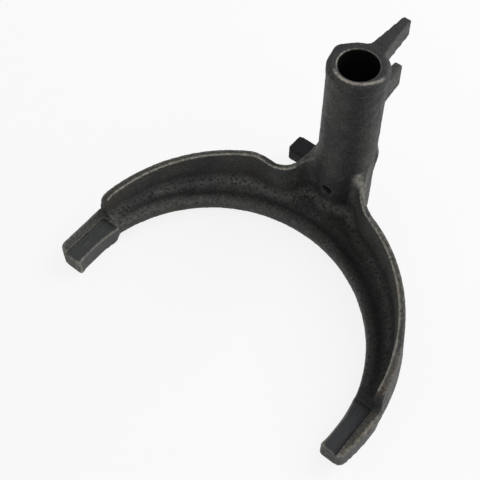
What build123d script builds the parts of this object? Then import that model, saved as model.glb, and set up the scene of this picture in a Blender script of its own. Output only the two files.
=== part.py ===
from build123d import *
from math import atan, cos, degrees, radians, tan
import os

# Shift fork: one casting with a long rail hub, two curved arms of L section ending in machined
# pads, two gate lugs that form the finger slot, and a short ear beside the foot of the hub.
# The origin is on the rail bore's axis, in the plane of the hub's lower end and the pads' backs.
# +Z runs up the bore, and the sleeve's centre line lies on the -Y side.

# Hub
bore_d = 16.0
hub_wall = 4.1
hub_flare = 1.0
hub_length = 87.0
head_lip = 0.35
head_height = 5.0
head_edge_radius = 1.8
lobe_angle = 163.5
lobe_proud = 1.1
lobe_radius = 4.0
bore_chamfer = 0.6
pin_hole_d = 5.0
pin_hole_height = 19.5
pin_hole_turn = 2.0

# Sleeve that the arms straddle
groove_radius = 63.6
sleeve_gap = 16.15

# Web of the arms
web_bottom = 3.8
web_thickness = 6.0
web_edge_radius = 2.4

# Rim wall along the outer edge of the arms
arm_width = 8.7
rim_overlap = 0.55
rim_top_width = 2.4
rim_height = 17.8
rim_slope = 6.4
rim_outer_draft = 5.5
rim_inner_draft = 1.5
rim_edge_radius = 0.9
rim_root_radius = 4.2
rim_end_inset = 16.1
rim_end_lean = 1.2
rim_end_radius = 3.0
rim_foot_radius = 1.0
gusset_rise = 9.5
gusset_reach = 8.0
gusset_blend_radius = 5.0

# Shoulders between the hub and the arms
shoulder_radius = 22.0
neck_step = 2.85
neck_drop = 1.95
scallop_radius = 9.0
crest_radius = 12.0

# Pads
pad_thickness = 8.5
pad_flare = 2.7
pad_draft = 1.0
pad_length = 25.6
pad_face_inset = 2.4
pad_back_inset = 1.5
pad_step_lean = 2.4
pad_corner_radius = 3.5
pad_edge_radius = 1.0
face_width = 6.7
land_step = 1.5
land_slope = 20.0
land_edge_radius = 1.2

# Gate lugs
gate_shift = 0.95
gate_gap = 17.3
upper_lug_thickness = 7.8
lower_lug_thickness = 11.0
lug_length = 18.95
lug_ring_inset = 1.2
lug_tip_width = 3.9
lug_root_width = 9.3
lug_root_radius = 5.0
lug_tip_radius = 0.8
lug_draft = 1.0

# Ear beside the hub's foot
ear_length = 19.2
ear_width = 9.4
ear_y = 6.1
ear_bottom = 2.6
ear_thickness = 7.4
ear_corner_radius = 1.8

# Nub on the hub's back
nub_angle = 28.0
nub_bottom = 25.0
nub_height = 16.0
nub_peak_share = 0.65
nub_proud = 1.1
nub_width = 4.0

# Values that follow
near = 0.01
hub_top_d = bore_d + 2 * hub_wall
hub_foot_d = hub_top_d + hub_flare
hub_r = (hub_foot_d + hub_top_d) / 4
hub_draft = degrees(atan(hub_flare / 2 / hub_length))
head_r = hub_top_d / 2 + head_lip
head_bottom = hub_length - head_height
lobe_distance = head_r + lobe_proud - lobe_radius
sleeve_distance = hub_r + sleeve_gap + groove_radius
rim_radius = groove_radius + arm_width
rim_centre_y = rim_overlap - hub_r - rim_radius
neck_x = hub_r + neck_step
neck_y = hub_r - neck_drop
scallop_y = neck_y + scallop_radius
web_top = web_bottom + web_thickness
rim_top = web_top + rim_height
rim_end_y = sleeve_distance - rim_end_inset
rim_end_top = rim_top + (scallop_y - rim_end_y) * tan(radians(rim_slope))
rim_foot_y = rim_end_y + rim_end_lean
block_top = rim_top + scallop_y * tan(radians(rim_slope))
block_growth = (block_top - web_bottom) * tan(radians(rim_outer_draft))
block_height = block_top - web_top
pocket_shrink = rim_top_width + rim_height * tan(radians(rim_inner_draft))
skirt_bottom = rim_top + (scallop_y - hub_r) * tan(radians(rim_slope))
skirt_top = skirt_bottom + gusset_rise
skirt_r = hub_r + gusset_reach
skirt_width = skirt_r - hub_top_d / 2
skirt_arc_radius = (gusset_rise**2 + skirt_width**2) / (2 * skirt_width)
pad_outer_radius = rim_radius + pad_flare
pad_face_y = rim_end_y + pad_face_inset
pad_back_y = rim_end_y + pad_back_inset
pad_tip_y = rim_end_y + pad_length
land_x = groove_radius + face_width
land_z = pad_thickness + land_step
land_width = 2 * (pad_outer_radius - land_x)
land_rise = land_width * tan(radians(land_slope))
lug_reach = head_r + lug_length
lug_ring_r = head_r - lug_ring_inset
lower_lug_top = hub_length - upper_lug_thickness - gate_gap
ear_reach = hub_r + ear_length
nub_peak = nub_bottom + nub_peak_share * nub_height


def outline(grow):
    """Plan of the arms and shoulders, with the edge of all but the hub moved out by grow."""
    with BuildSketch() as plan:
        with Locations((0, rim_centre_y)):
            Circle(rim_radius + grow)
        Circle(hub_r)
        fillet(plan.vertices().sort_by(Axis.X)[-1], shoulder_radius - grow)
        with BuildLine():
            Polyline(
                (0, 0),
                (-hub_r, 0),
                (-neck_x - grow, -neck_y),
                (-neck_x - scallop_radius, -neck_y),
                (-neck_x - scallop_radius, -scallop_y),
                (0, -scallop_y),
                close=True,
            )
        make_face()
        with BuildSketch(mode=Mode.PRIVATE) as scallop:
            with Locations((-neck_x - grow, grow - scallop_y)):
                Rectangle(rim_radius, scallop_y, align=(Align.MAX, Align.MIN))
            corner = scallop.vertices().group_by(Axis.X)[-1].sort_by(Axis.Y)[0]
            fillet(corner, scallop_radius - grow)
        add(scallop.sketch, mode=Mode.SUBTRACT)
        fillet(plan.vertices().sort_by(Axis.X)[0], crest_radius + grow)
    return plan.sketch


def hollow(shrink):
    """Plan of the hollow between the wall and the hub, with its corners beside the hub blended."""
    with BuildSketch() as plan:
        offset(outline(0), amount=-shrink - gusset_blend_radius)
        Circle(hub_r + gusset_blend_radius, mode=Mode.SUBTRACT)
        offset(amount=gusset_blend_radius, mode=Mode.REPLACE)
    return plan.sketch


with BuildPart() as gussets:
    # Plan of the wall and the corners beside the hub, raised above the rim
    with BuildSketch(Plane.XY.offset(web_top)):
        add(outline(0))
        add(hollow(rim_top_width), mode=Mode.SUBTRACT)
    extrude(amount=skirt_top)
    # Concave skirt about the hub that trims them
    with BuildSketch(Plane.XZ):
        with BuildLine():
            Polyline(
                (skirt_r - skirt_width, skirt_top),
                (0, skirt_top),
                (0, web_top),
                (skirt_r, web_top),
                (skirt_r, skirt_bottom),
            )
            RadiusArc(
                (skirt_r, skirt_bottom),
                (skirt_r - skirt_width, skirt_top),
                skirt_arc_radius,
            )
        make_face()
    revolve(axis=Axis.Z, mode=Mode.INTERSECT)


def tip_edges():
    """Upright edges of the pads' flat ends, from the sleeve's side outwards."""
    edges = pads.faces().group_by(Axis.Y)[0].edges()
    upright = edges.filter_by(lambda edge: abs((edge % 0.5).Z) > cos(radians(45)))
    return upright.sort_by(lambda edge: abs(edge.center().X))


with BuildPart() as pads:
    # Both tips as one drafted disc about the rim's centre, with a straight flank on the left
    with BuildSketch():
        with Locations((0, rim_centre_y)):
            Circle(pad_outer_radius)
            Rectangle(pad_outer_radius, 2 * pad_length, align=(Align.MAX, Align.CENTER))
    extrude(amount=rim_top, taper=pad_draft)
    # Level foot and slanted lands
    with BuildSketch(Plane.XZ.offset(rim_end_y)):
        with BuildLine():
            Polyline(
                (0, 0),
                (0, land_z),
                (land_x, land_z),
                (land_x + land_width, land_z + land_rise),
                (land_x + land_width, 0),
                close=True,
            )
        make_face()
        mirror(about=Plane.YZ)
    extrude(amount=pad_tip_y - rim_end_y, mode=Mode.INTERSECT)
    # Opening for the sleeve
    with BuildSketch():
        with Locations((0, -sleeve_distance)):
            Circle(groove_radius)
    extrude(amount=rim_top, mode=Mode.SUBTRACT)
    # Machined faces
    with BuildSketch(Plane.XY.offset(pad_thickness)):
        with Locations((0, -pad_face_y)):
            Rectangle(2 * land_x, pad_tip_y, align=(Align.CENTER, Align.MAX))
    extrude(amount=land_z, mode=Mode.SUBTRACT)
    # Room for the end of the web
    with BuildSketch(Plane.XY.offset(web_bottom)):
        with Locations((0, -pad_face_y)):
            Rectangle(2 * land_x, pad_face_inset, align=(Align.CENTER, Align.MIN))
    extrude(amount=land_z, mode=Mode.SUBTRACT)
    # Step on the back, from the web to the pads
    with BuildSketch(Plane.YZ):
        with BuildLine():
            Polyline(
                (-rim_end_y, 0),
                (-rim_end_y, web_bottom),
                (-pad_back_y, web_bottom),
                (-pad_back_y - pad_step_lean, 0),
                close=True,
            )
        make_face()
    extrude(amount=pad_outer_radius, both=True, mode=Mode.SUBTRACT)
    # Rounded corners of the tips, and the lands' rounded outer edges
    fillet(tip_edges()[-2:], pad_corner_radius)
    fillet(tip_edges()[:2], pad_edge_radius)
    lands = pads.faces().filter_by(lambda face: face.normal_at().Z > cos(radians(2 * land_slope)))
    lands = lands.filter_by(lambda face: abs(face.center().X) > land_x)
    rims = lands.edges().filter_by(lambda edge: abs(edge.center().X) > land_x + near)
    fillet(rims.filter_by(lambda edge: edge.center().Y < -rim_end_y - near), land_edge_radius)

with BuildPart() as shift_fork:
    # Arms and shoulders as one drafted block
    with BuildSketch(Plane.XY.offset(web_bottom)):
        add(outline(block_growth))
    with BuildSketch(Plane.XY.offset(block_top)):
        add(outline(0))
    loft(ruled=True)
    split(bisect_by=Plane((0, -scallop_y, rim_top)).rotated((rim_slope, 0, 0)), keep=Keep.BOTTOM)
    fillet(shift_fork.faces().sort_by(Axis.Z)[-1].edges(), rim_edge_radius)
    # Pocket that leaves the web and the rim wall
    with BuildSketch(Plane.XY.offset(web_top)):
        add(hollow(pocket_shrink))
    extrude(amount=block_height, taper=-rim_inner_draft, mode=Mode.SUBTRACT)
    # Hub, blended into the web and the wall
    with BuildSketch():
        Circle(hub_foot_d / 2)
    extrude(amount=head_bottom, taper=hub_draft)
    floors = shift_fork.faces().filter_by_position(Axis.Z, web_top - near, web_top + near)
    fillet(floors.sort_by(SortBy.AREA)[-1].edges(), rim_root_radius)
    # Ends of the rim, leaning and rounded at the top
    with BuildSketch(Plane.YZ):
        with BuildLine():
            lean = Line((-rim_foot_y, web_top), (-rim_end_y, rim_end_top - rim_end_radius))
            TangentArc(lean @ 1, (rim_end_radius - rim_end_y, rim_end_top), tangent=lean % 1)
            Polyline(
                (rim_end_radius - rim_end_y, rim_end_top),
                (rim_end_radius - rim_end_y, block_top),
                (-2 * pad_tip_y, block_top),
                (-2 * pad_tip_y, 0),
                (-pad_face_y, 0),
                (-pad_face_y, web_top),
                (-rim_foot_y, web_top),
            )
        make_face()
    extrude(amount=2 * rim_radius, both=True, mode=Mode.SUBTRACT)
    # Opening for the sleeve, with a rounded edge on the web
    with BuildSketch():
        with Locations((0, -sleeve_distance)):
            Circle(groove_radius)
    extrude(amount=block_top, mode=Mode.SUBTRACT)
    cut = shift_fork.edges(Select.LAST).filter_by(GeomType.CIRCLE)
    fillet(cut.group_by(Axis.Z)[-1], web_edge_radius)
    # Pads, blended into the ends of the rim
    add(pads.part)
    feet = shift_fork.edges().filter_by_position(Axis.Y, -rim_foot_y - near, -rim_end_y + near)
    feet = feet.filter_by_position(Axis.Z, land_z, land_z + land_rise).filter_by(GeomType.LINE)
    feet = feet.filter_by(Axis.Z, reverse=True)
    fillet(feet, rim_foot_radius)
    # Gussets that carry the wall up the hub
    add(gussets.part)
    # Head of the hub, with a lobe on its back
    with BuildSketch(Plane.XY.offset(head_bottom)) as head:
        Circle(head_r)
        with PolarLocations(lobe_distance, 1, lobe_angle):
            Circle(lobe_radius)
        make_hull(head.edges())
    extrude(amount=head_height)
    fillet(shift_fork.faces().sort_by(Axis.Z)[-1].edges(), head_edge_radius)
    # Gate lugs and the finger slot between them
    for lug_top, lug_thickness in (
        (hub_length, upper_lug_thickness),
        (lower_lug_top, lower_lug_thickness),
    ):
        with BuildSketch(Plane.XY.offset(lug_top)) as lug:
            Circle(lug_ring_r)
            with BuildLine():
                Polyline(
                    (gate_shift - lug_root_width / 2, 0),
                    (gate_shift - lug_tip_width / 2, lug_reach),
                    (gate_shift + lug_tip_width / 2, lug_reach),
                    (gate_shift + lug_root_width / 2, 0),
                    close=True,
                )
            make_face()
            fillet(lug.vertices().group_by(Axis.Y)[-1], lug_tip_radius)
            fillet(lug.vertices().filter_by_position(Axis.Y, near, lug_ring_r), lug_root_radius)
        extrude(amount=-lug_thickness, taper=-lug_draft)
    # Ear beside the foot of the hub
    with BuildSketch(Plane.XY.offset(ear_bottom)) as ear:
        with Locations((0, ear_y)):
            Rectangle(ear_reach, ear_width, align=(Align.MAX, Align.CENTER))
        fillet(ear.vertices().group_by(Axis.X)[0], ear_corner_radius)
    extrude(amount=ear_thickness)
    # Nub on the back of the hub
    with BuildSketch(Plane.XZ.rotated((0, 0, nub_angle))):
        with BuildLine():
            Polyline(
                (0, nub_bottom),
                (hub_r, nub_bottom),
                (hub_r + nub_proud, nub_peak),
                (hub_r, nub_bottom + nub_height),
                (0, nub_bottom + nub_height),
                close=True,
            )
        make_face()
    extrude(amount=nub_width / 2, both=True)
    # Rail bore, chamfered at both ends
    with Locations((0, 0, hub_length)):
        Hole(bore_d / 2)
    chamfer(shift_fork.edges(Select.LAST).filter_by(GeomType.CIRCLE), bore_chamfer)
    # Pin hole through both walls of the hub, across the rail
    with BuildSketch(Plane.XZ.rotated((0, 0, -pin_hole_turn))):
        with Locations((0, pin_hole_height)):
            Circle(pin_hole_d / 2)
    extrude(amount=hub_foot_d, both=True, mode=Mode.SUBTRACT)

shift_fork.part.label = "shift_fork"
os.makedirs("parts", exist_ok=True)
export_step(shift_fork.part, "parts/shift_fork.step")
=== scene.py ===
"""Shift fork: the looks of one dark iron casting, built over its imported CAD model.

The casting's skin is a fine copy of the CAD solid with the waviness and grain of a sand mould.
The faces that are machined on the real part stay flat, and a procedural finish tells the two
apart. Sizes and places are in metres, in the model's own frame, and shares run from 0 to 1.
"""

import logging
import math
from dataclasses import dataclass, field
from enum import Enum

import bpy
import numpy as np
from mathutils import Matrix, Vector
from mathutils.kdtree import KDTree


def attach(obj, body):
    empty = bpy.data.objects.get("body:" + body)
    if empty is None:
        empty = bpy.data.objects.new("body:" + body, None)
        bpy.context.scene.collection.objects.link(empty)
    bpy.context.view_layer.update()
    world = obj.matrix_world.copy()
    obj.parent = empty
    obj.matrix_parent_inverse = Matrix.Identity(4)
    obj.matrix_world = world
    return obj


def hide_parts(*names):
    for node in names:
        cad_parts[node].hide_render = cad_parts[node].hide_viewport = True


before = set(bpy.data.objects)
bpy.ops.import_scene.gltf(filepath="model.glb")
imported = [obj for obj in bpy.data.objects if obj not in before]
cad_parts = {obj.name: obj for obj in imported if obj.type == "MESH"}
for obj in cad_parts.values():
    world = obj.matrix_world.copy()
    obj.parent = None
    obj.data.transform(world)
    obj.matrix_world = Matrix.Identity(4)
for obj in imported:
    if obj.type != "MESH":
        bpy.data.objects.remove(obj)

LOG = logging.getLogger("shift_fork")

Band = tuple[float, float]
Point = tuple[float, float, float]
Colour = tuple[float, float, float, float]
Socket = bpy.types.NodeSocket
Value = Socket | float | Point | Colour


class Mark(Enum):
    """Vertex attributes of the casting that its finish reads."""

    MACHINED = "machined"
    # Rubbed metal on the edges, partly painted highlight
    WEAR = "wear_and_highlight"
    # Painted shade on the top faces, the right web, the right pad, the hub's right side and the dish,
    # and a darker ear, shaft and pits
    DIRT = "painted_shade_and_darkening"
    # Coarseness, and painted light that makes the web's floor and bank lighter
    COARSE = "coarse_and_lit"
    OXIDE = "oxide"


def paint(red: int, green: int, blue: int) -> Colour:
    """Turns a colour as seen on a screen into the linear one that a shader takes.

    Args:
        red: Red, 0 to 255.
        green: Green, 0 to 255.
        blue: Blue, 0 to 255.

    Returns:
        The linear colour with full alpha.
    """
    shares = (value / 255.0 for value in (red, green, blue))
    linear = [s / 12.92 if s <= 0.04045 else ((s + 0.055) / 1.055) ** 2.4 for s in shares]
    return (linear[0], linear[1], linear[2], 1.0)


def ramp(values: np.ndarray, start: float, width: float) -> np.ndarray:
    """Rises from 0 where the values pass the start to 1 one width further on."""
    return np.clip((values - start) / width, 0.0, 1.0)


def hump(values: np.ndarray, middle: float, width: float) -> np.ndarray:
    """Is 1 where the values meet the middle and falls off on both sides."""
    return np.exp(-(((values - middle) / width) ** 2))


def choose(piece: bpy.types.Object) -> None:
    """Makes one piece the only selected and the active object.

    Args:
        piece: The object to work on.
    """
    bpy.ops.object.select_all(action="DESELECT")
    piece.select_set(True)
    bpy.context.view_layer.objects.active = piece


@dataclass(frozen=True)
class Pattern:
    """Cloudy noise with blotches of one size and finer layers upon them."""

    size: float
    detail: float
    rough: float


class Board:
    """Lays out the nodes of one material or world and wires them up."""

    def __init__(self, tree: bpy.types.NodeTree) -> None:
        """Starts on an empty board.

        Args:
            tree: The node tree to fill.
        """
        self.tree = tree
        tree.nodes.clear()

    def node(self, kind: str, inputs: dict | None = None, **settings: object) -> bpy.types.Node:
        """Adds one node.

        Args:
            kind: The node's class name.
            inputs: Values or sockets for its inputs, by name or index.
            settings: Properties of the node.

        Returns:
            The new node.
        """
        made = self.tree.nodes.new(kind)
        for name, value in settings.items():
            setattr(made, name, value)
        for key, value in (inputs or {}).items():
            self.feed(made.inputs[key], value)
        return made

    def feed(self, socket: Socket, value: Value) -> None:
        """Links a socket to an output, or sets it to a plain value.

        Args:
            socket: The input to fill.
            value: An output socket, a number, a colour or a vector.
        """
        if isinstance(value, bpy.types.NodeSocket):
            self.tree.links.new(value, socket)
        else:
            socket.default_value = value

    def noise(self, where: Value, pattern: Pattern) -> Socket:
        """Adds cloudy noise.

        Args:
            where: The coordinates it reads.
            pattern: The size of its blotches and how its finer layers go.

        Returns:
            The noise value, about 0 to 1.
        """
        inputs = {
            "Vector": where,
            "Scale": 1.0 / pattern.size,
            "Detail": pattern.detail,
            "Roughness": pattern.rough,
        }
        return self.node("ShaderNodeTexNoise", inputs).outputs["Fac"]

    def span(self, value: Value, band: Band) -> Socket:
        """Stretches a value over a band, with soft ends.

        Args:
            value: The value to stretch.
            band: What becomes 0 and what becomes 1.

        Returns:
            The stretched value, kept between 0 and 1.
        """
        low, high = band
        inputs = {"Value": value, "From Min": low, "From Max": high}
        made = self.node("ShaderNodeMapRange", inputs, interpolation_type="SMOOTHSTEP")
        return made.outputs["Result"]

    def reckon(self, kind: str, first: Value, second: Value = 0.0, clamp: bool = True) -> Socket:
        """Works out one operation on two numbers.

        Args:
            kind: The operation, such as MULTIPLY.
            first: The first number.
            second: The second number, where the operation takes one.
            clamp: Whether the result stays between 0 and 1.

        Returns:
            The result.
        """
        made = self.node("ShaderNodeMath", {0: first, 1: second}, operation=kind, use_clamp=clamp)
        return made.outputs["Value"]

    def times(self, *shares: Value) -> Socket:
        """Multiplies several shares.

        Args:
            shares: Values from 0 to 1.

        Returns:
            Their product.
        """
        product = shares[0]
        for share in shares[1:]:
            product = self.reckon("MULTIPLY", product, share)
        return product

    def apart(self, first: Value, second: Value) -> Socket:
        """Measures how far apart two numbers are.

        Args:
            first: The first number.
            second: The second number.

        Returns:
            Their difference without its sign.
        """
        return self.reckon("ABSOLUTE", self.reckon("SUBTRACT", first, second, clamp=False))

    def blend(self, share: Value, first: Value, second: Value) -> Socket:
        """Mixes two colours.

        Args:
            share: How much of the second colour shows.
            first: The first colour.
            second: The second colour.

        Returns:
            The mixed colour.
        """
        inputs = {"Factor": share, 6: first, 7: second}
        return self.node("ShaderNodeMix", inputs, data_type="RGBA").outputs[2]

    def lerp(self, share: Value, first: Value, second: Value) -> Socket:
        """Mixes two numbers.

        Args:
            share: How much of the second number shows.
            first: The first number.
            second: The second number.

        Returns:
            The mixed number.
        """
        inputs = {"Factor": share, 2: first, 3: second}
        return self.node("ShaderNodeMix", inputs, data_type="FLOAT").outputs[0]

    def mark(self, mark: Mark) -> Socket:
        """Reads one of the casting's marks."""
        return self.node("ShaderNodeAttribute", attribute_name=mark.value).outputs["Fac"]


@dataclass(frozen=True)
class ForkSizes:
    """Sizes of the CAD model that its looks go by."""

    hub_length: float = 0.087
    hub_radius: float = 0.0127
    head_bottom: float = 0.082
    bore_radius: float = 0.008
    mouth_radius: float = 0.0107
    pin_radius: float = 0.0025
    pin_height: float = 0.0195
    pin_turn: float = math.radians(2.0)
    pin_reach: float = 0.013
    web_top: float = 0.0098
    rim_top: float = 0.0276
    rim_top_y: float = -0.0194
    rim_slope: float = math.radians(6.4)
    rim_y: float = -0.0841
    wall_radius: float = 0.0705
    pad_face_height: float = 0.0085
    pad_face_y: float = -0.0784
    pad_back_y: float = -0.0775
    land_x: float = 0.0703
    sleeve_y: float = -0.0921
    groove_radius: float = 0.0636
    lug_root_y: float = 0.0135
    ear_top: float = 0.0115
    gusset_reach: float = 0.0215
    gusset_low: float = 0.024
    gusset_high: float = 0.043

    def rim_at(self, y: np.ndarray) -> np.ndarray:
        """Works out how high the wall's sloping rim runs."""
        return self.rim_top + (y - self.rim_top_y) * math.tan(self.rim_slope)


class Skin:
    """Where the points of the casting's skin are and which way they face."""

    def __init__(self, piece: bpy.types.Object) -> None:
        """Reads the points of a piece.

        Args:
            piece: The casting.
        """
        self.places = self._rows(piece.data.vertices, "co")
        self.normals = self._rows(piece.data.vertex_normals, "vector")
        self.x, self.y, self.z = self.places.T
        self.up = self.normals[:, 2]
        self.from_axis = np.hypot(self.x, self.y)
        self.turned = np.degrees(np.arctan2(self.y, self.x))

    @staticmethod
    def _rows(items: bpy.types.bpy_prop_collection, name: str) -> np.ndarray:
        """Reads one vector of each item.

        Args:
            items: The mesh's vertices or normals.
            name: The vector's name.

        Returns:
            One row of x, y and z for each item.
        """
        flat = np.empty(len(items) * 3, dtype=np.float64)
        items.foreach_get(name, flat)
        return flat.reshape(-1, 3)

    def from_line(self, y: float) -> np.ndarray:
        """Measures how far each point is from an upright line on the middle plane."""
        return np.hypot(self.x, self.y - y)


class Neighbours:
    """Averages values over the edges of a mesh."""

    def __init__(self, mesh: bpy.types.Mesh) -> None:
        """Reads which points are joined.

        Args:
            mesh: The casting's mesh.
        """
        self.size = len(mesh.vertices)
        pairs = np.empty(len(mesh.edges) * 2, dtype=np.int64)
        mesh.edges.foreach_get("vertices", pairs)
        self.first, self.second = pairs.reshape(-1, 2).T
        self.count = np.bincount(self.first, minlength=self.size)
        self.count += np.bincount(self.second, minlength=self.size)

    def average(self, values: np.ndarray, rounds: int) -> np.ndarray:
        """Averages each point's value with its neighbours', over and over.

        Args:
            values: One value for each point.
            rounds: How often it is done.

        Returns:
            The averaged values.
        """
        for _ in range(rounds):
            total = np.bincount(self.first, values[self.second], self.size)
            total += np.bincount(self.second, values[self.first], self.size)
            values = (values + total) / (1 + self.count)
        return values


@dataclass(frozen=True)
class Readings:
    """What the finish reads at a point of the surface."""

    machined: Socket
    coarse_and_lit: Socket
    specks: Socket
    grain: Socket
    lumps: Socket
    clouds: Socket
    tooling: Socket
    radius: Socket
    angle: Socket
    height: Socket


@dataclass(frozen=True)
class CastIronFinish:
    """Dark sand-cast iron with machined faces, edges rubbed bright and partly painted as highlight, and
    painted shade on parts of the skin.
    """

    sizes: ForkSizes = ForkSizes()

    # Colours
    skin: Colour = paint(47, 47, 46)
    # Lighter skin of coarse sand, and painted light on the web's floor and bank
    sanded_and_lit: Colour = paint(102, 102, 98)
    # Bright grains, partly painted glints on the coarse skin
    skin_light: Colour = paint(128, 127, 121)
    # Dark pits, partly painted shade in the grain
    skin_dark: Colour = paint(18, 18, 18)
    # Colour of the painted shade, and of the darker ear, shaft and pits
    shade_and_darkening_colour: Colour = paint(28, 29, 33)
    olive: Colour = paint(60, 57, 47)
    slate: Colour = paint(42, 45, 50)
    oxide: Colour = paint(96, 84, 70)
    machined: Colour = paint(78, 79, 80)
    machined_dark: Colour = paint(66, 67, 68)
    # Painted shade inside the bore
    bore: Colour = paint(26, 26, 26)
    # Colour of rubbed metal and of the painted highlights on edges
    rubbed_and_highlight: Colour = paint(176, 171, 160)

    # Patterns
    specks: Pattern = Pattern(0.0007, 2.0, 0.6)
    grain: Pattern = Pattern(0.0013, 3.0, 0.6)
    lumps: Pattern = Pattern(0.0032, 2.0, 0.5)
    clouds: Pattern = Pattern(0.02, 3.0, 0.55)
    tool_marks: Pattern = Pattern(0.0006, 2.0, 0.6)
    tool_stretch: Point = (1.0, 0.12, 1.0)

    # Values of a pattern at which its colour starts to show and shows in full
    speck_band: Band = (0.52, 0.64)
    pit_band: Band = (0.5, 0.38)
    olive_band: Band = (0.5, 0.64)
    slate_band: Band = (0.5, 0.38)
    oxide_band: Band = (0.3, 0.6)
    tool_band: Band = (0.35, 0.7)
    wear_and_highlight_band: Band = (0.35, 0.55)
    gloss_band: Band = (0.3, 0.7)

    # How much shows on smooth skin and on coarse skin
    speck_share: Band = (0.05, 0.9)
    pit_share: Band = (0.15, 0.95)
    relief_share: Band = (0.3, 1.0)

    # Film, wear with painted highlight, and relief
    film_share: float = 0.45
    wear_and_highlight_share: Band = (0.5, 1.0)
    lump_share: float = 0.35
    grain_height: float = 0.0006
    tool_mark_height: float = 0.00003

    # Gloss and metal
    skin_roughness: Band = (0.66, 0.52)
    machined_roughness: float = 0.44
    rubbed_roughness: float = 0.36
    skin_metal: float = 0.1
    machined_metal: float = 0.35
    rubbed_metal: float = 0.8
    clean_specular: float = 0.3
    darkened_specular: float = 0.1

    # Bore's edge, and the ridge on the near side of the mouth, rubbed bright and painted as highlight
    bore_edge: float = 0.0083
    bore_fade: float = 0.0002
    mouth_drop: Band = (0.0013, 0.0007)
    near_start: Band = (-2.35, -1.95)
    near_end: Band = (0.25, -0.5)
    ridge_turn: Band = (-0.9, 0.2)
    ridge_radius: Band = (0.0096, 0.0111)
    ridge_width: Band = (0.0011, 0.0001)
    edge_width: Band = (0.0003, 0.0001)
    edge_share: float = 0.5
    gap_band: Band = (0.4, 0.6)
    gap_share: Band = (0.35, 1.0)

    def material(self) -> bpy.types.Material:
        """Builds the finish.

        Returns:
            The procedural material.
        """
        made = bpy.data.materials.new("cast_iron_skin")
        made.use_nodes = True
        board = Board(made.node_tree)
        at = self._read(board)
        # Painted shade and darkening, read from the dark mark
        painted_shade_and_darkening = board.mark(Mark.DIRT)
        # Rubbed metal on the edges and the mouth, partly painted highlight
        rubbed_and_lit = board.reckon("MAXIMUM", self._worn_and_lit_edge(board, at), self._worn_and_lit_mouth(board, at))
        colour = board.blend(at.machined, self._cast(board, at), self._cut(board, at))
        colour = board.blend(painted_shade_and_darkening, colour, self.shade_and_darkening_colour)
        roughness = board.lerp(board.span(at.lumps, self.gloss_band), *self.skin_roughness)
        roughness = board.lerp(at.machined, roughness, self.machined_roughness)
        metal = board.lerp(at.machined, self.skin_metal, self.machined_metal)
        shader = board.node(
            "ShaderNodeBsdfPrincipled",
            {
                "Base Color": board.blend(rubbed_and_lit, colour, self.rubbed_and_highlight),
                "Roughness": board.lerp(rubbed_and_lit, roughness, self.rubbed_roughness),
                "Metallic": board.lerp(rubbed_and_lit, metal, self.rubbed_metal),
                "Specular IOR Level": board.lerp(painted_shade_and_darkening, self.clean_specular, self.darkened_specular),
                "Normal": self._relief(board, at),
            },
        )
        board.node("ShaderNodeOutputMaterial", {"Surface": shader.outputs["BSDF"]})
        return made

    def _read(self, board: Board) -> Readings:
        """Reads the marks, the patterns and the place about the hub's axis.

        Args:
            board: The material's board.

        Returns:
            What the finish reads, with the radius and height in metres and the angle in radians.
        """
        place = board.node("ShaderNodeTexCoord").outputs["Object"]
        stretch = {"Vector": place, "Scale": self.tool_stretch}
        streaks = board.node("ShaderNodeMapping", stretch).outputs["Vector"]
        x, y, z = board.node("ShaderNodeSeparateXYZ", {0: place}).outputs
        squares = board.reckon("ADD", board.reckon("MULTIPLY", x, x), board.reckon("MULTIPLY", y, y))
        return Readings(
            machined=board.mark(Mark.MACHINED),
            coarse_and_lit=board.mark(Mark.COARSE),
            specks=board.noise(place, self.specks),
            grain=board.noise(place, self.grain),
            lumps=board.noise(place, self.lumps),
            clouds=board.noise(place, self.clouds),
            tooling=board.noise(streaks, self.tool_marks),
            radius=board.reckon("SQRT", squares),
            angle=board.reckon("ARCTAN2", y, x, clamp=False),
            height=z,
        )

    def _cast(self, board: Board, at: Readings) -> Socket:
        """Colours the cast skin with bright grains that are partly painted glints, dark pits that are
        partly painted shade, films and oxide.

        Args:
            board: The material's board.
            at: What the finish reads.

        Returns:
            The skin's colour.
        """
        skin = board.blend(at.coarse_and_lit, self.skin, self.sanded_and_lit)
        bright = board.times(
            board.span(at.specks, self.speck_band), board.lerp(at.coarse_and_lit, *self.speck_share)
        )
        skin = board.blend(bright, skin, self.skin_light)
        pits = board.times(board.span(at.grain, self.pit_band), board.lerp(at.coarse_and_lit, *self.pit_share))
        skin = board.blend(pits, skin, self.skin_dark)
        for band, film in ((self.olive_band, self.olive), (self.slate_band, self.slate)):
            skin = board.blend(board.times(board.span(at.clouds, band), self.film_share), skin, film)
        rusty = board.times(board.mark(Mark.OXIDE), board.span(at.grain, self.oxide_band))
        return board.blend(rusty, skin, self.oxide)

    def _cut(self, board: Board, at: Readings) -> Socket:
        """Colours the machined faces, and the bore's wall darker as painted shade.

        Args:
            board: The material's board.
            at: What the finish reads.

        Returns:
            The colour of the machined metal.
        """
        cut = board.blend(board.span(at.tooling, self.tool_band), self.machined_dark, self.machined)
        inside = board.span(at.radius, (self.bore_edge, self.bore_edge - self.bore_fade))
        return board.blend(inside, cut, self.bore)

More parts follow.
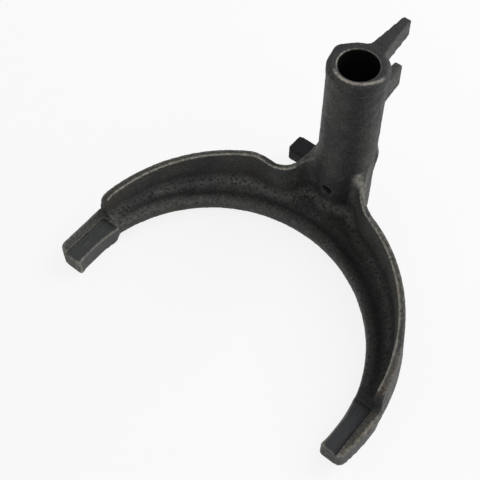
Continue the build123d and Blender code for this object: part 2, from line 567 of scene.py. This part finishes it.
    def _relief(self, board: Board, at: Readings) -> Socket:
        """Builds the fine relief of the sand mould and of the cutting tool.

        Args:
            board: The material's board.
            at: What the finish reads.

        Returns:
            The shading normal.
        """
        height = board.times(
            board.lerp(self.lump_share, at.grain, at.lumps), board.lerp(at.coarse_and_lit, *self.relief_share)
        )
        reliefs = []
        for distance, shape in ((self.grain_height, height), (self.tool_mark_height, at.tooling)):
            inputs = {"Strength": 1.0, "Distance": distance, "Height": shape}
            reliefs.append(board.node("ShaderNodeBump", inputs).outputs["Normal"])
        inputs = {"Factor": at.machined, 4: reliefs[0], 5: reliefs[1]}
        return board.node("ShaderNodeMix", inputs, data_type="VECTOR").outputs[1]

    def _worn_and_lit_edge(self, board: Board, at: Readings) -> Socket:
        """Breaks up the wear and painted highlight on the edges by the grain.

        Args:
            board: The material's board.
            at: What the finish reads.

        Returns:
            How bright the edge is painted, as rubbed metal and highlight.
        """
        broken = board.lerp(board.span(at.grain, self.wear_and_highlight_band), *self.wear_and_highlight_share)
        return board.times(board.mark(Mark.WEAR), broken)

    def _worn_and_lit_mouth(self, board: Board, at: Readings) -> Socket:
        """Draws the bright ring round the hub's mouth and the ridge on its near side, rubbed metal with
        a painted highlight.

        Args:
            board: The material's board.
            at: What the finish reads.

        Returns:
            How bright the metal is painted, as rubbed metal and highlight.
        """
        low, high = (self.sizes.hub_length - drop for drop in self.mouth_drop)
        mouth = board.span(at.height, (low, high))
        near_side = board.times(
            board.span(at.angle, self.near_start), board.span(at.angle, self.near_end)
        )
        ridge = board.lerp(board.span(at.angle, self.ridge_turn), *self.ridge_radius)
        thick = board.times(board.span(board.apart(at.radius, ridge), self.ridge_width), near_side)
        thin = board.times(
            board.span(board.apart(at.radius, self.bore_edge), self.edge_width),
            board.reckon("SUBTRACT", self.edge_share, near_side),
        )
        broken = board.lerp(board.span(at.grain, self.gap_band), *self.gap_share)
        return board.times(board.reckon("MAXIMUM", thick, thin), mouth, broken)


@dataclass(frozen=True)
class WeatheringAndPaintedLight:
    """Finds where the casting is machined, rubbed bright with painted highlight, darkened with painted
    shade, coarse with painted light on the web, and rusty.
    """

    sizes: ForkSizes = ForkSizes()

    # Machined faces, the dull ones with their shares
    reach: float = 0.00025
    level: float = 0.75
    bore_margin: float = 0.0006
    mouth_share: float = 0.3
    lug_share: float = 0.55
    groove_share: float = 0.6

    # Painted shade on the top faces, the right web and the right pad, and the ear darker
    top_layer: float = 0.0004
    top_margin: float = 0.001
    end_face_shade: float = 0.45
    lug_top_shade: float = 0.4
    ear_darkening: float = 0.9
    ear_start: float = 0.0125
    ear_fade: float = 0.004
    web_low: float = 0.006
    web_rise: float = 0.004
    web_front: float = -0.012
    right_web_shade: float = 0.55
    web_start: float = -0.03
    web_fade: float = 0.05
    right_pad_shade: float = 0.35

    # Darkening of the hub's shaft with painted shade on its right side, darker pits, and painted shade
    # in the dish
    shaft_low: float = 0.012
    shaft_back: float = 0.008
    shaft_darkening: float = 0.2
    hub_right_shade: float = 0.45
    shade_turn: float = -50.0
    shade_width: float = 30.0
    pit_darkening: float = 0.6
    pit_start: float = 0.00004
    pit_depth: float = 0.0002
    dish_shade: float = 0.55

    # Coarseness, and painted light on the web's up-facing floor and its bank
    plain_sand: float = 0.25
    hub_sand: float = 0.4
    hub_margin: float = 0.0004
    gusset_sand: float = 0.5
    gusset_span: Band = (0.016, 0.036)
    floor_sand_and_light: float = 0.5
    floor_tilt: float = 0.3
    floor_rise: float = 0.0035
    floor_front: float = -0.01
    pad_sand: float = 0.35

    # Wear and painted highlight on the rim, most on its inner edge, the pads, the web's edge and all
    # the rest
    rim_drop: float = 0.0014
    rim_front: float = -0.004
    rim_clear: float = 0.0135
    rim_wear_and_highlight: float = 1.0
    outer_wear_and_highlight: float = 0.1
    other_wear_and_highlight: float = 0.05
    pad_wear_and_highlight: float = 0.5
    web_wear_and_highlight: float = 0.5
    web_edge_reach: float = 0.001
    web_edge_top: float = 0.012
    bulge_start: float = 0.00006
    bulge_full: float = 0.00013

    # Painted highlight on the right gusset
    crest_highlight: float = 0.6
    crest_angle: float = -33.0
    crest_width: float = 7.0
    crest_low: float = 0.027
    crest_low_fade: float = 0.003
    crest_high: float = 0.039
    crest_high_fade: float = 0.005

    # Brown film on the right arm's rim and land
    film_drop: float = 0.0025
    film_x: float = 0.03
    film_thin: float = 0.1
    film_gain: float = 0.5
    film_start: float = 0.055
    film_fade: float = 0.02
    land_film: float = 0.4
    land_margin: float = 0.0005
    land_tilt: float = 0.3

    # Rounds of averaging
    form_rounds: int = 10
    bulge_rounds: int = 2
    machined_rounds: int = 2
    darkening_rounds: int = 3
    sand_rounds: int = 4
    film_rounds: int = 3

    def write(self, piece: bpy.types.Object, dish: np.ndarray, bank: np.ndarray) -> None:
        """Writes the marks that the finish reads.

        Args:
            piece: The casting.
            dish: How deep each point lies in the web's dish, 0 to 1.
            bank: How high each point lies on the web's bank, 0 to 1.
        """
        at = Skin(piece)
        average = Neighbours(piece.data).average
        form = np.stack([average(axis, self.form_rounds) for axis in at.places.T], axis=1)
        bulge = average(((at.places - form) * at.normals).sum(axis=1), self.bulge_rounds)
        wear_and_highlight = ramp(bulge, self.bulge_start, self.bulge_full) * self.exposed(at)
        marks = {
            Mark.MACHINED: average(self.machined(at), self.machined_rounds),
            Mark.WEAR: np.maximum(wear_and_highlight, self.crest_highlight * self.crest(at)),
            Mark.DIRT: average(self.shaded_and_darkened(at, bulge, dish), self.darkening_rounds),
            Mark.COARSE: average(self.coarse_and_lit(at, bank), self.sand_rounds),
            Mark.OXIDE: average(self.rusty(at), self.film_rounds),
        }
        for mark, values in marks.items():
            layer = piece.data.attributes.new(mark.value, "FLOAT", "POINT")
            layer.data.foreach_set("value", values.astype(np.float32))
        LOG.info("%s: marks %s", piece.name, [mark.value for mark in marks])

    def machined(self, at: Skin) -> np.ndarray:
        """Finds how bright the tool has left the faces that it cut.

        Args:
            at: The casting's points.

        Returns:
            1 on the bright faces, less on the dull ones and 0 on the cast skin.
        """
        fork = self.sizes
        near = self.reach
        level = np.abs(at.up) > self.level
        across = np.abs(at.x * math.cos(fork.pin_turn) - at.y * math.sin(fork.pin_turn))
        bore = at.from_axis < fork.bore_radius + self.bore_margin
        foot = (at.from_axis < fork.hub_radius) & (at.z < near) & level
        mouth = (at.from_axis < fork.mouth_radius) & (at.z > fork.hub_length - near)
        lug_top = (at.z > fork.hub_length - near) & (at.y > fork.lug_root_y) & level
        pin = np.hypot(across, at.z - fork.pin_height) < fork.pin_radius + near
        pin &= at.from_axis < fork.pin_reach
        faces = (np.abs(at.z - fork.pad_face_height) < near) & (at.y < fork.pad_face_y) & level
        faces &= np.abs(at.x) < fork.land_x
        backs = (at.z < near) & (at.y < fork.pad_back_y) & level
        walls = np.abs(at.from_line(fork.sleeve_y) - fork.groove_radius) < near
        walls &= (at.y < fork.pad_back_y) & (at.z < fork.pad_face_height + near)
        dull = np.where(lug_top, self.lug_share, self.groove_share * walls)
        dull = np.where(mouth | pin, self.mouth_share, dull)
        return np.maximum((bore | foot | faces | backs).astype(np.float64), dull)

    def shaded_and_darkened(self, at: Skin, bulge: np.ndarray, dish: np.ndarray) -> np.ndarray:
        """Finds where the iron is painted darker: painted shade on the top faces, the right web, the
        right pad, the hub's right side and the dish, and a darker ear, shaft and pits.

        Args:
            at: The casting's points.
            bulge: How far each point stands out of the skin about it, in metres.
            dish: How deep each point lies in the web's dish, 0 to 1.

        Returns:
            0 where the iron keeps its colour to 1 where it is darkest.
        """
        fork = self.sizes
        top = at.z > fork.hub_length - self.top_layer
        end_face = top & (at.from_axis < fork.hub_radius + self.top_margin)
        lug_top = top & (at.y > fork.lug_root_y)
        ear = ((at.y > 0.0) & (at.z < fork.ear_top)) * ramp(-at.x, self.ear_start, self.ear_fade)
        # Painted shade on the lug tops, and the ear darker
        painted_shade_and_darkening = np.where(lug_top, self.lug_top_shade, self.ear_darkening * ear)
        # Painted shade on the hub's end face
        painted_shade_and_darkening = np.where(end_face, self.end_face_shade, painted_shade_and_darkening)
        web = (at.z > self.web_low) & (at.z < fork.web_top + self.web_rise)
        web &= (at.y < self.web_front) & (at.y > fork.pad_face_y)
        web &= at.from_line(fork.rim_y) < fork.wall_radius
        # Painted shade on the web, growing towards the right arm
        painted_shade_and_darkening = np.where(web, self.right_web_shade * ramp(at.x, self.web_start, self.web_fade), painted_shade_and_darkening)
        right_pad = (at.y < fork.pad_face_y) & (at.x > 0.0) & (at.x < fork.land_x)
        # Painted shade on the right pad
        painted_shade_and_darkening = np.where(right_pad, self.right_pad_shade, painted_shade_and_darkening)
        shaft = (at.from_axis < fork.hub_radius) & (at.z > self.shaft_low) & ~top
        shaft &= at.y < self.shaft_back
        # Painted shade on the hub's right side, over the shaft's darkening
        shade = self.hub_right_shade * hump(at.turned, self.shade_turn, self.shade_width)
        painted_shade_and_darkening = np.where(shaft, self.shaft_darkening + shade, painted_shade_and_darkening)
        # Pits darker, and painted shade in the dish
        pits = self.pit_darkening * ramp(-bulge, self.pit_start, self.pit_depth)
        return 1.0 - (1.0 - painted_shade_and_darkening) * (1.0 - pits) * (1.0 - self.dish_shade * dish)

    def coarse_and_lit(self, at: Skin, bank: np.ndarray) -> np.ndarray:
        """Finds how coarse the sand has left the skin, with painted light that makes the web's
        up-facing floor and its bank lighter.

        Args:
            at: The casting's points.
            bank: How high each point lies on the web's bank, 0 to 1.

        Returns:
            0 where the skin is smooth to 1 where it is coarse and painted lightest.
        """
        fork = self.sizes
        low, high = self.gusset_span
        hub = (at.from_axis < fork.hub_radius + self.hub_margin) & (at.z > fork.web_top)
        gusset = (at.from_axis < fork.gusset_reach) & (at.z > low) & (at.z < high) & (at.y < 0.0)
        floor = (at.up > self.floor_tilt) & (at.z < fork.web_top + self.floor_rise)
        floor &= at.y < self.floor_front
        sand = np.where(hub, self.hub_sand, self.plain_sand)
        sand = np.where(gusset, self.gusset_sand, sand)
        # Painted light on the web's up-facing floor, most on the bank
        sand = np.where(floor, self.floor_sand_and_light + (1.0 - self.floor_sand_and_light) * bank, sand)
        return np.where(at.y < fork.pad_face_y, self.pad_sand, sand)

    def exposed(self, at: Skin) -> np.ndarray:
        """Finds how much an edge is rubbed in use and in handling, and how much painted highlight it
        gets.

        Args:
            at: The casting's points.

        Returns:
            0 on sheltered edges to 1 on those that are rubbed bright and painted as highlight.
        """
        fork = self.sizes
        inward = at.normals[:, 1] * (fork.sleeve_y - at.y) - at.normals[:, 0] * at.x
        rim = (at.z > fork.rim_at(at.y) - self.rim_drop) & (at.z < fork.gusset_high)
        rim &= (at.y < self.rim_front) & (at.y > fork.pad_face_y) & (at.from_axis > self.rim_clear)
        wear_and_highlight = np.where(inward > 0.0, self.rim_wear_and_highlight, self.outer_wear_and_highlight)
        wear_and_highlight = np.where(rim, wear_and_highlight, self.other_wear_and_highlight)
        wear_and_highlight = np.where(at.y < fork.pad_face_y, self.pad_wear_and_highlight, wear_and_highlight)
        edge = at.from_line(fork.sleeve_y) < fork.groove_radius + self.web_edge_reach
        edge &= (at.y > fork.pad_face_y) & (at.z < self.web_edge_top)
        return np.where(edge, self.web_wear_and_highlight, wear_and_highlight)

    def crest(self, at: Skin) -> np.ndarray:
        """Finds the painted highlight where the right gusset runs up the hub.

        Args:
            at: The casting's points.

        Returns:
            0 outside the spot to 1 in its middle.
        """
        rise = ramp(at.z, self.crest_low, self.crest_low_fade)
        fall = ramp(-at.z, -self.crest_high, self.crest_high_fade)
        near = (at.from_axis > self.sizes.hub_radius) & (at.from_axis < self.sizes.gusset_reach)
        return near * rise * fall * hump(at.turned, self.crest_angle, self.crest_width)

    def rusty(self, at: Skin) -> np.ndarray:
        """Finds the brown film along the right arm's rim and the right pad's land.

        Args:
            at: The casting's points.

        Returns:
            0 where the iron is clean to 1 where the film is thick.
        """
        fork = self.sizes
        rim = (at.z > fork.rim_at(at.y) - self.film_drop) & (at.x > self.film_x)
        rim &= (at.y > fork.pad_face_y) & (at.up > 0.0)
        land = (at.x > fork.land_x + self.land_margin) & (at.y < fork.pad_face_y)
        land &= at.up > self.land_tilt
        film = self.film_thin + self.film_gain * ramp(-at.y, self.film_start, self.film_fade)
        return np.where(rim, film, self.land_film * land)


@dataclass
class ForkCasting:
    """The whole fork: one casting with machined bore, end faces, pads and pin hole."""

    sizes: ForkSizes = ForkSizes()
    finish: CastIronFinish = field(default_factory=CastIronFinish)
    weathering_and_light: WeatheringAndPaintedLight = field(default_factory=WeatheringAndPaintedLight)
    node: str = "shift_fork"
    cast_group: str = "cast"
    blend_group: str = "blend"
    thin_group: str = "thinned"

    # Skin's mesh
    seam: float = 1e-6
    voxel: float = 0.0004
    triangles: int = 190_000
    kept_top: float = 0.002
    kept_rim: float = 0.0015

    # Blends of the gussets, the collar below the hub's head and the shaft
    edge_rounds: int = 3
    blend_rounds: int = 30
    smoothing: float = 0.5
    blend_inset: float = 0.0006
    left_blend: float = 1.0
    right_blend: float = 0.6
    collar_half: float = 0.002
    collar_gap: Band = (-75.0, 15.0)
    shaft_blend: float = 0.5
    shaft_low: float = 0.040
    bore_clear: float = 0.001

    # Dish along the web, and the bank up to the wall
    upright: float = 0.3
    wall_rise: float = 0.0065
    wall_half: float = 0.0005
    web_tilt: float = 0.2
    web_half: float = 0.0045
    web_front: float = -0.0100
    web_fade: float = 0.006
    dish_from_edge: float = 0.0056
    dish_width: float = 0.0017
    dish_depth: float = 0.0005
    bank_from_wall: float = 0.0022
    bank_width: float = 0.0010
    bank_rise: float = 0.0004

    # Waves and grain
    wave_size: float = 0.007
    wave_height: float = 0.00018
    grain_size: float = 0.0013
    grain_height: float = 0.00018

    def build(self) -> bpy.types.Object:
        """Makes the casting and dresses it.

        Returns:
            The finished piece, which replaces the CAD node.
        """
        piece = self._copy()
        places = Skin(piece).places
        low, high = places.min(axis=0), places.max(axis=0)
        self._remesh(piece)
        self._soften(piece)
        dish, bank = self._dish(piece)
        self._roughen(piece)
        self.weathering_and_light.write(piece, dish, bank)
        self._thin(piece)
        self._move(piece, np.clip(Skin(piece).places, low, high))
        choose(piece)
        bpy.ops.object.shade_smooth()
        piece.data.materials.clear()
        piece.data.materials.append(self.finish.material())
        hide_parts(self.node)
        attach(piece, "root")
        return piece

    def _copy(self) -> bpy.types.Object:
        """Copies the CAD node's mesh and closes its seams.

        Returns:
            The copy, merged into one closed mesh.
        """
        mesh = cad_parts[self.node].data.copy()
        mesh.name = "shift_fork_casting"
        piece = bpy.data.objects.new("shift_fork_casting", mesh)
        bpy.context.scene.collection.objects.link(piece)
        choose(piece)
        bpy.ops.object.mode_set(mode="EDIT")
        bpy.ops.mesh.select_all(action="SELECT")
        bpy.ops.mesh.remove_doubles(threshold=self.seam)
        bpy.ops.object.mode_set(mode="OBJECT")
        return piece

    def _remesh(self, piece: bpy.types.Object) -> None:
        """Gives the casting an even, fine skin.

        Args:
            piece: The casting.
        """
        choose(piece)
        remesh = piece.modifiers.new("even_skin", "REMESH")
        remesh.mode = "VOXEL"
        remesh.voxel_size = self.voxel
        bpy.ops.object.modifier_apply(modifier=remesh.name)

    def _soften(self, piece: bpy.types.Object) -> None:
        """Softens the cast edges, and most of all the gussets and the collar below the head.

        Args:
            piece: The casting.
        """
        fork = self.sizes
        at = Skin(piece)
        within = at.from_axis < fork.hub_radius
        gusset = (at.from_axis > fork.hub_radius - self.blend_inset) & (at.z > fork.gusset_low)
        gusset &= (at.from_axis < fork.gusset_reach) & (at.z < fork.gusset_high)
        start, end = self.collar_gap
        collar = within & (np.abs(at.z - fork.head_bottom) < self.collar_half)
        collar &= (at.turned < start) | (at.turned > end)
        shaft = within & (at.z > self.shaft_low) & (at.z < fork.head_bottom - self.collar_half)
        share = np.where(at.x < 0, self.left_blend, self.right_blend)
        share = np.where(gusset, share, collar)
        share = np.where(shaft, self.shaft_blend, share)
        self._group(piece, self.cast_group, self.weathering_and_light.machined(at) <= 0.0)
        outside = at.from_axis > fork.bore_radius + self.bore_clear
        self._group(piece, self.blend_group, share * outside)
        for name, rounds, group in (
            ("soft_edges", self.edge_rounds, self.cast_group),
            ("soft_blends", self.blend_rounds, self.blend_group),
        ):
            choose(piece)
            soften = piece.modifiers.new(name, "SMOOTH")
            soften.factor = self.smoothing
            soften.iterations = rounds
            soften.vertex_group = group
            bpy.ops.object.modifier_apply(modifier=name)

    def _dish(self, piece: bpy.types.Object) -> tuple[np.ndarray, np.ndarray]:
        """Hollows the web along its middle and banks it up against the wall.

        Args:
            piece: The casting.

        Returns:
            How deep each point lies in the dish and how high on the bank, 0 to 1.
        """
        fork = self.sizes
        at = Skin(piece)
        wall = np.abs(at.z - fork.web_top - self.wall_rise) < self.wall_half
        wall = np.flatnonzero(wall & (np.abs(at.up) < self.upright))
        tree = KDTree(len(wall))
        for index in wall:
            tree.insert((at.x[index], at.y[index], 0.0), int(index))
        tree.balance()
        from_edge = at.from_line(fork.sleeve_y) - fork.groove_radius
        web = (at.up > self.web_tilt) & (np.abs(at.z - fork.web_top) < self.web_half)
        web &= (at.y > fork.pad_face_y) & (at.y < self.web_front)
        web &= (from_edge > 0.0) & (at.from_axis > fork.hub_radius)
        gap = np.ones(len(at.places))
        for index in np.flatnonzero(web):
            gap[index] = tree.find((at.x[index], at.y[index], 0.0))[2]
        fade = web * ramp(at.y, fork.pad_face_y, self.web_fade)
        dish = fade * hump(from_edge, self.dish_from_edge, self.dish_width)
        bank = fade * hump(gap, self.bank_from_wall, self.bank_width)
        at.places[:, 2] += bank * self.bank_rise - dish * self.dish_depth
        self._move(piece, at.places)
        return dish, bank

    def _roughen(self, piece: bpy.types.Object) -> None:
        """Adds the mould's waviness and grain, inwards only.

        Args:
            piece: The casting.
        """
        for name, size, height in (
            ("wave", self.wave_size, self.wave_height),
            ("grain", self.grain_size, self.grain_height),
        ):
            choose(piece)
            cloud = bpy.data.textures.new(name, "CLOUDS")
            cloud.noise_scale = size
            cloud.noise_depth = 1
            push = piece.modifiers.new(name, "DISPLACE")
            push.texture = cloud
            push.texture_coords = "LOCAL"
            push.strength = height
            push.mid_level = 1.0
            push.vertex_group = self.cast_group
            bpy.ops.object.modifier_apply(modifier=name)

    def _thin(self, piece: bpy.types.Object) -> None:
        """Takes out triangles where the skin is flat, but not on the pads, the hub's top and the rim's
        edge that is rubbed bright and painted with highlight.

        Args:
            piece: The casting.
        """
        piece.data.calc_loop_triangles()
        share = self.triangles / len(piece.data.loop_triangles)
        if share >= 1.0:
            return
        fork = self.sizes
        at = Skin(piece)
        kept = (at.y < fork.pad_face_y) | (at.z > fork.hub_length - self.kept_top)
        kept |= (np.abs(at.z - fork.rim_at(at.y)) < self.kept_rim) & (at.y < fork.rim_top_y)
        self._group(piece, self.thin_group, ~kept)
        choose(piece)
        thin = piece.modifiers.new("thin", "DECIMATE")
        thin.ratio = share
        thin.vertex_group = self.thin_group
        bpy.ops.object.modifier_apply(modifier=thin.name)

    @staticmethod
    def _group(piece: bpy.types.Object, name: str, shares: np.ndarray) -> None:
        """Writes a vertex group.

        Args:
            piece: The casting.
            name: The group's name.
            shares: Each vertex's weight, 0 to 1, or whether it is in the group.
        """
        group = piece.vertex_groups.new(name=name)
        for share in np.unique(shares[shares > 0.0]):
            members = np.flatnonzero(shares == share)
            group.add([int(index) for index in members], float(share), "REPLACE")

    @staticmethod
    def _move(piece: bpy.types.Object, places: np.ndarray) -> None:
        """Moves the piece's points.

        Args:
            piece: The casting.
            places: One row of x, y and z for each vertex.
        """
        piece.data.vertices.foreach_set("co", places.ravel())
        piece.data.update()


@dataclass(frozen=True)
class Lamp:
    """One softbox."""

    name: str
    place: Point
    size: float
    watts: float
    aim: Point = (0.0, -0.04, 0.02)

    def build(self) -> None:
        """Hangs the softbox and points it at the object."""
        data = bpy.data.lights.new(self.name, "AREA")
        data.shape = "SQUARE"
        data.size = self.size
        data.energy = self.watts
        made = bpy.data.objects.new(self.name, data)
        made.location = self.place
        beam = Vector(self.aim) - made.location
        made.rotation_euler = beam.to_track_quat("-Z", "Y").to_euler()
        bpy.context.scene.collection.objects.link(made)


@dataclass
class Studio:
    """Plain white floor, soft lamps and an even world that the camera sees as white."""

    white: Colour = (1.0, 1.0, 1.0, 1.0)
    world_strength: float = 0.43
    floor_half: float = 4.0
    floor_drop: float = 0.0002
    floor_colour: Colour = (0.85, 0.85, 0.85, 1.0)
    floor_glow: float = 0.85
    lamps: tuple[Lamp, ...] = (
        Lamp("lamp_right", (0.73, 0.26, 0.63), 0.6, 1.1),
        Lamp("lamp_back", (0.30, 0.69, 0.63), 0.6, 5.6),
        Lamp("lamp_front", (-0.30, -0.34, 0.90), 0.6, 0.3),
    )

    def build(self) -> None:
        """Builds the floor, the lamps and the world."""
        self._floor()
        for lamp in self.lamps:
            lamp.build()
        self._world()

    def _world(self) -> None:
        """Lights the object evenly from all round, and shows the camera white."""
        world = bpy.data.worlds.new("studio")
        world.use_nodes = True
        board = Board(world.node_tree)
        rays = board.node("ShaderNodeLightPath")
        sky = board.node("ShaderNodeBackground", {"Color": self.white, "Strength": self.world_strength})
        seen = board.node("ShaderNodeBackground", {"Color": self.white, "Strength": 1.0})
        inputs = {0: rays.outputs["Is Camera Ray"], 1: sky.outputs[0], 2: seen.outputs[0]}
        mixed = board.node("ShaderNodeMixShader", inputs)
        board.node("ShaderNodeOutputWorld", {"Surface": mixed.outputs[0]})
        bpy.context.scene.world = world

    def _floor(self) -> None:
        """Lays the floor just below the fork, which shows white and keeps a shadow."""
        bpy.ops.object.select_all(action="DESELECT")
        place = (0.0, 0.0, -self.floor_drop)
        bpy.ops.mesh.primitive_plane_add(size=2 * self.floor_half, location=place)
        floor = bpy.context.object
        floor.name = "floor"
        made = bpy.data.materials.new("floor_white")
        made.use_nodes = True
        board = Board(made.node_tree)
        rays = board.node("ShaderNodeLightPath")
        seen = board.reckon("ADD", rays.outputs["Is Camera Ray"], rays.outputs["Is Glossy Ray"])
        seen = board.reckon("ADD", seen, rays.outputs["Is Transmission Ray"])
        lit = board.node("ShaderNodeBsdfDiffuse", {"Color": self.floor_colour})
        glow = board.node("ShaderNodeEmission", {"Color": self.white, "Strength": 1.0})
        share = board.reckon("MULTIPLY", seen, self.floor_glow)
        mixed = board.node("ShaderNodeMixShader", {0: share, 1: lit.outputs[0], 2: glow.outputs[0]})
        board.node("ShaderNodeOutputMaterial", {"Surface": mixed.outputs[0]})
        floor.data.materials.append(made)


@dataclass(frozen=True)
class PhotoCamera:
    """Camera at the photograph's viewing angle and distance, with its lens in millimetres."""

    place: Point = (0.12170, -0.21649, 0.35297)
    right: Point = (0.77654, 0.63000, -0.00903)
    down: Point = (0.52909, -0.65981, -0.53359)
    lens: float = 71.58
    sensor: float = 36.0
    nearest: float = 0.01
    farthest: float = 20.0

    def build(self) -> None:
        """Creates the camera and makes it the scene's own."""
        data = bpy.data.cameras.new("photo_camera")
        data.lens = self.lens
        data.sensor_width = self.sensor
        data.clip_start = self.nearest
        data.clip_end = self.farthest
        made = bpy.data.objects.new("photo_camera", data)
        across = Vector(self.right).normalized()
        up = -Vector(self.down).normalized()
        back = across.cross(up)
        turn = Matrix((across, up, back)).transposed().to_4x4()
        made.matrix_world = Matrix.Translation(Vector(self.place)) @ turn
        bpy.context.scene.collection.objects.link(made)
        bpy.context.scene.camera = made


def main() -> None:
    """Builds the studio, the camera and the fork."""
    logging.basicConfig(level=logging.INFO, format="%(message)s")
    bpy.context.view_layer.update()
    bpy.context.scene.view_settings.view_transform = "Standard"
    Studio().build()
    PhotoCamera().build()
    casting = ForkCasting().build()
    LOG.info("%s: %d faces", casting.name, len(casting.data.polygons))


if __name__ == "__main__":
    main()
